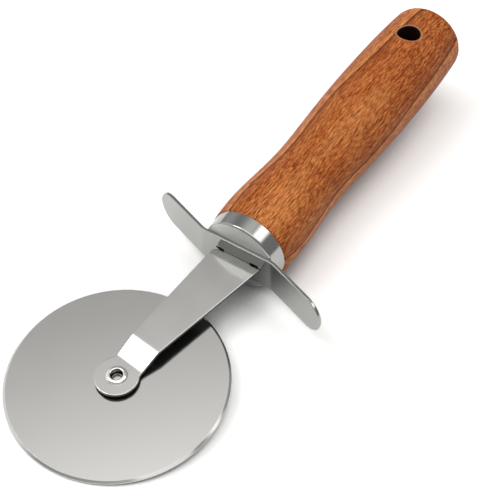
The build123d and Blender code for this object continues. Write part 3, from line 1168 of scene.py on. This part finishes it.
@dataclass
class Ferrule:
    """The drawn cup between the guard and the wood, with a rounded front lip and a slot for the tang."""

    arm: Arm
    length: float = 5.5
    front_radius: float = 12.7
    rear_radius: float = 13.0
    wall: float = 0.6
    lip: float = 0.9
    segments: int = 256
    side_points: int = 8

    @property
    def front(self) -> float:
        """The place of its front face, on the back of the guard."""
        return self.arm.guard_thickness / 2

    @property
    def back(self) -> float:
        """The place of its open end."""
        return self.front + self.length

    def outline(self, shrink: float) -> np.ndarray:
        """The outer or inner half section, from near the axis to the open end, shrunk by a wall."""
        front, lip = self.front + shrink, self.lip - shrink
        nose = self.front_radius - shrink
        slope = (self.back, self.rear_radius - shrink)
        arc = arc_leaving((front, nose - lip), (front + lip, nose), (0, 1), FILLET_POINTS)
        side = walked(np.array([arc[-1], slope]), self.side_points)
        return np.concatenate([[(front, nose / 2)], arc, side[1:]])

    def solid(self) -> Skin:
        """The outer section, open edge and inner section as one closed profile, slotted in its face."""
        outer, inner = self.outline(0), self.outline(self.wall)[::-1]
        profile = np.concatenate([[(self.front, 0)], outer, inner, [(self.front + self.wall, 0)]])
        profile = held(profile, 2 * HOLD_REACH)
        slot = self.arm.slot(self.arm.slot_clearance)
        return turn_on_handle(profile, {0: slot, len(profile) - 1: slot}, self.segments, True).outward()

    def build(self, place: Place, finishes: Finishes, grain: Tree) -> None:
        """Makes the ferrule."""
        finish = finishes.ferrule.material(grain, place)
        make_piece("ferrule_cup", self.solid(), place, finish, ["ferrule"])


@dataclass
class Grip:
    """The turned handle: a nose in the ferrule, a collar, the grip's curve, a domed butt and a hang hole."""

    ferrule: Ferrule
    length: float = 120.5
    collar_radius: float = 13.3
    collar_break: float = 0.4
    shares: tuple[float, ...] = (0.054, 0.255, 0.47, 0.745)
    radii: tuple[float, ...] = (13.75, 12.7, 13.65, 14.5)
    butt_radius: float = 13.6
    butt_edge: float = 2.6
    butt_dome: float = 0.6
    hole_radius: float = 4.0
    hole_from_butt: float = 18.5
    hole_break: float = 0.6
    nose_clearance: float = 0.05
    segments: int = 192
    row: float = 0.5
    patch_reach: float = 7.0
    mouth_rings: int = 12
    mouth_spread: float = 0.8
    rim_rings: int = 7
    wall_rings: int = 24
    nose_points: int = 6
    edge_points: int = 14

    @property
    def end(self) -> float:
        """The place of the butt's middle."""
        return self.ferrule.back + self.length

    @property
    def hole_x(self) -> float:
        """The place of the hang hole's axis."""
        return self.end - self.hole_from_butt

    @property
    def round_x(self) -> float:
        """Where the grip's curve ends and the butt's rounding starts."""
        return self.end - self.butt_edge - self.butt_dome

    def radius(self, at: np.ndarray) -> np.ndarray:
        """The grip's radius at places along it: a smooth cubic through its waists and bellies."""
        stations = [self.ferrule.back + self.collar_break]
        stations += [self.ferrule.back + share * self.length for share in self.shares] + [self.round_x]
        values = [self.collar_radius, *self.radii, self.butt_radius]
        return smooth_through(np.array(stations), np.array(values), at)

    def front_profile(self) -> np.ndarray:
        """The tang's slot inside the wood, the nose under the ferrule and the collar's small bevel."""
        nose_x = self.ferrule.front + self.ferrule.wall
        nose = self.ferrule.front_radius - self.ferrule.wall - self.nose_clearance
        rear = self.ferrule.rear_radius - self.ferrule.wall - self.nose_clearance
        lip = self.ferrule.lip
        slot_end = self.ferrule.arm.tang_length + self.ferrule.arm.slot_clearance
        arc = arc_leaving((nose_x, nose - lip), (nose_x + lip, nose), (0, 1), self.nose_points)
        back = self.ferrule.back
        bevel = self.collar_radius - self.collar_break
        return np.concatenate([[(slot_end, 0), (slot_end, 0), (nose_x, 0), (nose_x, nose / 2)], arc,
                               [(back, rear), (back, bevel)]])

    def rows(self) -> tuple[np.ndarray, int, int]:
        """The places of the grip's rings, and the numbers of those on the hang hole's patch's two sides."""
        start = self.ferrule.back + self.collar_break
        low, high = self.hole_x - self.patch_reach, self.hole_x + self.patch_reach
        before = np.linspace(start, low, round((low - start) / self.row) + 1)
        across = np.linspace(low, high, round(2 * self.patch_reach / self.row) + 1)[1:]
        after = np.linspace(high, self.round_x, round((self.round_x - high) / self.row) + 1)[1:]
        return np.concatenate([before, across, after]), len(before) - 1, len(before) + len(across) - 1

    def solid(self) -> Skin:
        """The handle as rings round its axis, with a patch round each mouth of the hang hole.

        The patch's rings run from the block of cells that it takes the place of to the hole's rounded rim, in
        plan, and take their height from the handle's radius: the root of its square less the square of y.

        Returns:
            The surface.
        """
        front = self.front_profile()
        at, low, high = self.rows()
        grip = np.stack([at, self.radius(at)], axis=1)
        slope = (grip[-1] - grip[-2]) / np.linalg.norm(grip[-1] - grip[-2])
        rim = (self.end - self.butt_dome, self.butt_radius - self.butt_edge)
        edge = arc_leaving(grip[-1], rim, slope, self.edge_points)
        dome = arc_leaving((self.end, 0), rim, (0, 1), DOME_POINTS)[::-1]
        profile = np.concatenate([front, grip, edge[1:], dome[1:]])
        slot = self.ferrule.arm.slot(self.nose_clearance)
        skin = turn_on_handle(profile, {1: slot, 2: slot}, self.segments, False)
        rings = len(front) + np.array((low, high))
        return self.drilled(skin, rings[0], rings[1]).welded().outward()

    def drilled(self, skin: Skin, low: int, high: int) -> Skin:
        """The turned surface with the hang hole's mouths and wall put in between two of its rings."""
        around = self.segments
        half = round(math.asin(self.patch_reach / self.radii[-1]) / (2 * math.pi) * around)
        top = around // 4
        ring, column = np.divmod(skin.faces[:, 0], around)
        near_top = (column >= top - half) & (column < top + half)
        near_foot = (column >= 3 * top - half) & (column < 3 * top + half)
        kept = skin.faces[~((ring >= low) & (ring < high) & (near_top | near_foot))]
        rows, columns = np.arange(low, high), np.arange(top - half, top + half)
        ring_loop = np.concatenate([rows, np.full(2 * half, high), rows[::-1] + 1, np.full(2 * half, low)])
        column_loop = np.concatenate(
            [np.full(len(rows), top - half), columns, np.full(len(rows), top + half), columns[::-1] + 1])
        upper = self.mouth(skin.points[ring_loop * around + column_loop])
        lower = upper[:-1] * (1, 1, -1)
        loop = len(ring_loop)
        wall_top, wall_foot = upper[-1], lower[-1]
        share = np.linspace(0, 1, self.wall_rings)[1:-1, None, None]
        wall = wall_top + share * (wall_foot - wall_top)
        tube = np.concatenate([upper, wall, wall_foot[None], lower[::-1]])
        tube_faces = between_rings(len(tube), loop) + len(skin.points)
        faces = np.concatenate([kept, tube_faces[:, ::-1]])
        return Skin(np.concatenate([skin.points, tube.reshape(-1, 3)]), faces)

    def mouth(self, border: np.ndarray) -> np.ndarray:
        """Rings from a patch's border to the hole's wall, over the rounded rim."""
        centre = np.array((self.hole_x, 0))
        plan = border[:, :2]
        away = plan - centre
        away /= np.linalg.norm(away, axis=1, keepdims=True)
        rim = centre + away * (self.hole_radius + self.hole_break)
        steps = np.linspace(0, 1, self.mouth_rings) ** self.mouth_spread
        flat = plan + steps[:, None, None] * (rim - plan)
        angle = np.linspace(0, math.pi / 2, self.rim_rings)[1:, None]
        reach = self.hole_radius + self.hole_break * (1 - np.sin(angle))
        plan_rings = np.concatenate([flat, centre + away * reach[..., None]])
        drop = np.concatenate([np.zeros((self.mouth_rings, 1)), self.hole_break * (1 - np.cos(angle))])
        x, y = plan_rings[..., 0], plan_rings[..., 1]
        height = np.sqrt(self.radius(x.reshape(-1)).reshape(x.shape) ** 2 - y**2) - drop
        return np.stack([x, y, height], axis=-1)

    def build(self, place: Place, finishes: Finishes) -> None:
        """Makes the handle."""
        finish = finishes.wood.material(place, self.hole_x * MM, self.hole_radius * MM)
        make_piece("grip", self.solid(), place, finish, ["handle"])


# Studio

@dataclass(frozen=True)
class Panel:
    """A soft panel in the sky: its middle, the cosines to that at its rim and full part, and its strength."""

    towards: tuple[float, float, float]
    rim: float
    full: float
    strength: float


@dataclass
class Studio:
    """The plain pale floor, the soft lights and the camera at the photograph's viewing angle.

    Attributes:
        picture, focal: The picture's breadth and the focal length, in pixels.
        azimuth, elevation, roll: The camera's direction in the tool's frame and its turn, in degrees.
        distance: How far it is from the wheel's centre, in millimetres.
        wheel_pixel: Where the wheel's centre shows in the picture.
        floor_colour, floor_lift: The floor's colour and glow to the camera and in mirrors.
        floor_bounce: Its colour to other light.
        contact_shade_reach, nook: How far the floor looks for things above it, and how much painted shade
            that puts into its colour.
        dome_top: Where the sky is brightest.
        dome_levels, dome_blue: Its strength over the cosine to that place, and its share of blue.
        key_from, key_distance, key_size, key_power: The soft box, in metres and watts.
    """

    picture: float = 500.0
    azimuth: float = -145.78
    elevation: float = 50.82
    roll: float = -1.22
    focal: float = 1077.24
    distance: float = 306.95
    wheel_pixel: tuple[float, float] = (117.65, 380.23)
    sensor: float = 36.0
    clip_start: float = 0.01
    floor_size: float = 40.0
    floor_colour: Colour = (1.18, 1.18, 1.175)
    floor_bounce: Colour = (0.60, 0.60, 0.595)
    floor_lift: float = 0.045
    contact_shade_reach: float = 0.034
    contact_shade: Ease = (0.58, 0.15, 0.0, 0.9)
    dome_top: tuple[float, float, float] = (-0.1, 0.0, 0.995)
    dome_levels: tuple[tuple[float, float], ...] = (
        (0.0, 0.33), (0.60, 0.34), (0.75, 0.40), (0.786, 0.46),
        (0.83, 0.63), (0.882, 0.98), (0.94, 1.45), (1.0, 1.9))
    dome_blue: float = 0.985
    panels: tuple[Panel, ...] = (
        Panel((0.40, -0.46, 0.79), 0.955, 0.997, 2.6),
        Panel((-0.19, -0.51, 0.839), 0.925, 0.965, 0.6),
        Panel((-0.26, 0.47, 0.843), 0.950, 0.988, 1.0),
        Panel((-0.15, 0.93, 0.33), 0.70, 0.95, 0.6))
    key_from: tuple[float, float, float] = (-0.26, 0.47, 0.843)
    key_distance: float = 2.0
    key_size: float = 0.8
    key_power: float = 5.0

    def camera(self, tool: Place) -> None:
        """Makes the camera, whose place follows from its angles and the wheel's place in the picture."""
        azimuth, elevation, roll = np.radians((self.azimuth, self.elevation, self.roll)).tolist()
        level = math.cos(elevation)
        back = np.array((level * math.cos(azimuth), level * math.sin(azimuth), math.sin(elevation)))
        right = np.cross((0, 0, 1), back)
        right /= np.linalg.norm(right)
        up = np.cross(back, right)
        cos, sin = math.cos(roll), math.sin(roll)
        right, up = cos * right + sin * up, cos * up - sin * right
        scale = self.distance / self.focal
        across, down = (pixel - self.picture / 2 for pixel in self.wheel_pixel)
        spot = self.distance * back - across * scale * right + down * scale * up
        axes = tool.axes @ np.stack([right, up, back], axis=1)
        data = bpy.data.cameras.new("camera")
        data.sensor_width = self.sensor
        data.lens = self.focal * self.sensor / self.picture
        data.clip_start = self.clip_start
        camera = link_object("camera", data)
        matrix = Matrix(axes.tolist()).to_4x4()
        matrix.translation = Vector(tool.put(spot[None])[0])
        camera.matrix_world = matrix
        bpy.context.scene.camera = camera

    def floor(self) -> None:
        """A pale floor that keeps the shadows, with painted shade in its colour where something stands close
        above it.

        The camera and mirrors see it near white, and other light bounces off a greyer one.
        """
        half = self.floor_size / 2
        mesh = bpy.data.meshes.new("floor")
        corners = [(-half, -half, 0), (half, -half, 0), (half, half, 0), (-half, half, 0)]
        mesh.from_pydata(corners, [], [(0, 1, 2, 3)])
        material = bpy.data.materials.new("pale_floor")
        material.use_nodes = True
        bench = Bench(material.node_tree)
        material.node_tree.nodes.remove(material.node_tree.nodes["Principled BSDF"])
        path = bench.add("LightPath").outputs
        mirrored = bench.sum("MAXIMUM", path["Is Glossy Ray"], path["Is Transmission Ray"])
        seen = bench.sum("MAXIMUM", path["Is Camera Ray"], mirrored)
        colour = bench.blend(seen, (*self.floor_bounce, 1), (*self.floor_colour, 1))
        # Painted shade: ambient occlusion darkens the floor's colour where something stands close above it.
        contact_shade = bench.add("AmbientOcclusion", {"Distance": self.contact_shade_reach}).outputs["AO"]
        colour = bench.blend(bench.ease(contact_shade, *self.contact_shade), colour, (0, 0, 0, 1))
        paint = bench.add("BsdfDiffuse", {"Color": colour})
        lift = bench.add("Emission", {"Strength": bench.sum("MULTIPLY", seen, self.floor_lift)})
        both = bench.add("AddShader", {0: paint.outputs[0], 1: lift.outputs[0]})
        bench.give(material.node_tree.nodes["Material Output"].inputs["Surface"], both.outputs[0])
        mesh.materials.append(material)
        floor = link_object("floor", mesh)

    def sky(self) -> None:
        """A soft dome, brightest overhead, with soft panels added to it.

        A colour ramp holds levels up to 1, so they are divided by the highest and multiplied by it after.
        """
        world = bpy.data.worlds.new("studio")
        bpy.context.scene.world = world
        world.use_nodes = True
        bench = Bench(world.node_tree)
        backdrop = world.node_tree.nodes["Background"]
        where = bench.add("TexCoord").outputs["Generated"]
        levels = bench.add("ValToRGB", {0: bench.vector("DOT_PRODUCT", where, self.dome_top)})
        ramp = levels.color_ramp
        ramp.interpolation = "B_SPLINE"
        ramp.elements[0].position, ramp.elements[1].position = self.dome_levels[0][0], self.dome_levels[-1][0]
        for place, _ in self.dome_levels[1:-1]:
            ramp.elements.new(place)
        peak = self.dome_levels[-1][1]
        for element, (_, level) in zip(ramp.elements, self.dome_levels):
            element.color = (level / peak, level / peak, level / peak * self.dome_blue, 1)
        glow = bench.vector("MULTIPLY", levels.outputs[0], (peak, peak, peak))
        for panel in self.panels:
            near = bench.vector("DOT_PRODUCT", where, panel.towards)
            glow = bench.vector("ADD", glow, bench.ease(near, panel.rim, panel.full, 0.0, panel.strength))
        bench.give(backdrop.inputs["Color"], glow)

    def key(self) -> None:
        """A soft box from the upper left, for the shadows beside and below the object."""
        data = bpy.data.lights.new("key", "AREA")
        data.shape = "DISK"
        data.size = self.key_size
        data.energy = self.key_power
        light = link_object("key", data)
        towards = Vector(self.key_from).normalized()
        light.location = towards * self.key_distance
        light.rotation_euler = towards.to_track_quat("Z", "Y").to_euler()

    def build(self, tool: Place) -> None:
        """Sets up the floor, the lights and the camera."""
        self.floor()
        self.sky()
        self.key()
        self.camera(tool)
        bpy.context.scene.view_settings.view_transform = "Standard"


def main() -> None:
    """Builds the sub-assemblies in order, then the studio."""
    logging.basicConfig(level=logging.INFO, format="%(message)s")
    joint = frame["joints"][0]
    hole = frame["record"]["mounts"][0]
    tool = Place.square_to(joint["pos_m"], joint["axis"])
    finishes = Finishes()
    grain = grain_group()
    wheel_set = WheelSet()
    arm = Arm(wheel_set)
    ferrule = Ferrule(arm)
    grip = Grip(ferrule)
    handle = Place.square_to(hole["pos_m"], hole["axis"]).moved((-grip.hole_x, 0, 0))
    wheel_set.build(tool, finishes, grain)
    arm.build(tool, finishes, grain)
    Guard(arm).build(handle, finishes, grain)
    ferrule.build(handle, finishes, grain)
    grip.build(handle, finishes)
    Studio().build(tool)


if __name__ == "__main__":
    main()
